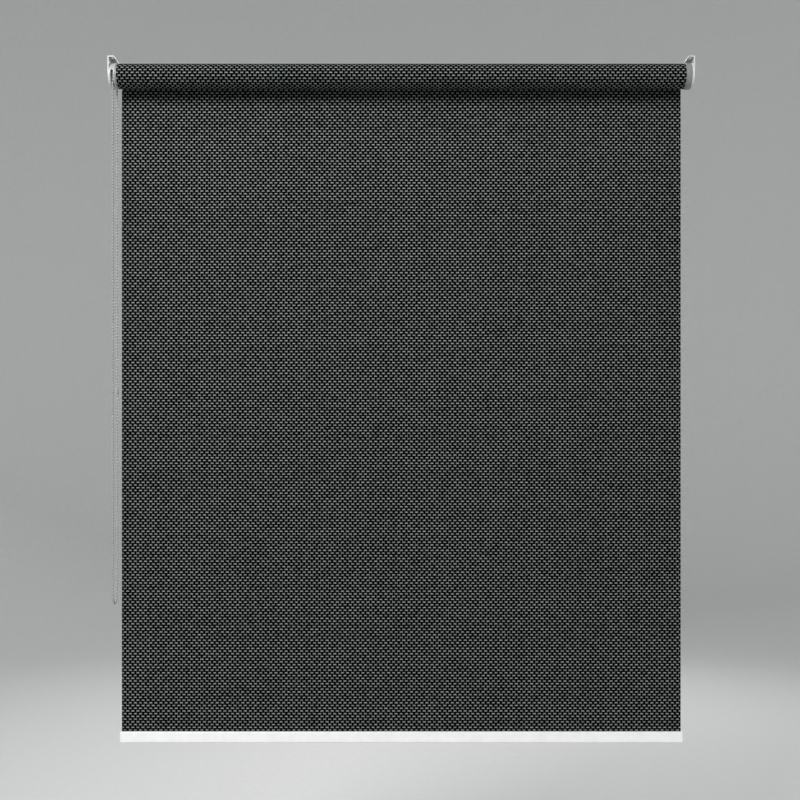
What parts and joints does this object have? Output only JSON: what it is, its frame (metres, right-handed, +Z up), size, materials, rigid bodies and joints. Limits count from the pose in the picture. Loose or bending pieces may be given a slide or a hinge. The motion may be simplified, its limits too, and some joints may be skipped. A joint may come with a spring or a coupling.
{
  "type": "roller blind",
  "caption": "Chain-operated roller blind for a window recess: charcoal woven screen fabric on a tube between two white end brackets, with a white bottom bar and a bead chain.",
  "frame": {"origin": "in the plane of the window head that the brackets are screwed to, midway between the two brackets and above the roller's axis", "axes": "+X along the roller towards the idle end, -Y towards the room, +Z up"},
  "size_m": [1.146, 0.0547, 1.352],
  "materials": {
    "white_metal": "satin white powder coat",
    "zinc": "zinc plated",
    "inner_plastic": "moulded, matt",
    "white_plastic": "moulded, satin gloss",
    "spring_steel": "oiled spring wire",
    "aluminium": "mill finish extrusion",
    "screen_fabric": "woven coated yarn, charcoal and grey",
    "white_bar": "white powder coat on aluminium",
    "bush_plastic": "self-lubricating, matt",
    "chain_plastic": "moulded beads"
  },
  "bodies": {
    "brackets": {"control_bracket": "white_metal", "core_screw": "zinc", "control_core": "inner_plastic", "chain_guard": "white_plastic", "hub_clip": "spring_steel", "idle_bracket": "white_metal", "idle_guard": "white_plastic", "chain_loop": "chain_plastic", "chain_connector": "chain_plastic"},
    "roller": {"roller_tube": "aluminium", "fabric_key": "inner_plastic", "fabric_roll": "screen_fabric", "drive_hub": "inner_plastic", "idle_plug": "inner_plastic", "idle_bush": "bush_plastic", "idle_spring": "spring_steel"},
    "drive": {"chain_wheel": "inner_plastic", "brake_springs": "spring_steel"},
    "pin": {"idle_pin": "zinc"},
    "hem": {"bottom_bar": "white_bar", "bar_key": "inner_plastic", "bar_cap_control": "white_plastic", "bar_cap_idle": "white_plastic", "fabric_panel": "screen_fabric"}
  },
  "joints": [
    {"name": "roller_spin", "type": "hinge", "parent": "brackets", "child": "roller", "pos_m": [0, 0, -0.0325], "axis": [1, 0, 0], "range_deg": [0, 2690]},
    {"name": "chain_wheel_spin", "type": "hinge", "parent": "brackets", "child": "drive", "pos_m": [-0.565, 0, -0.0325], "axis": [1, 0, 0], "range_deg": [0, 2690]},
    {"name": "bar_lift", "type": "slide", "parent": "brackets", "child": "hem", "axis": [0, 0, 1], "range_m": [0, 1.268], "deforming": ["fabric_panel"]},
    {"name": "idle_pin_press", "type": "slide", "parent": "brackets", "child": "pin", "axis": [-1, 0, 0], "range_m": [0, 0.008], "stiffness_N_per_m": 800, "springref_m": -0.01, "deforming": ["idle_spring"]}
  ],
  "couplings": [
    {"joint": "chain_wheel_spin", "follows": "roller_spin", "ratio": 1},
    {"joint": "bar_lift", "follows": "roller_spin", "m_per_rad": 0.027}
  ]
}
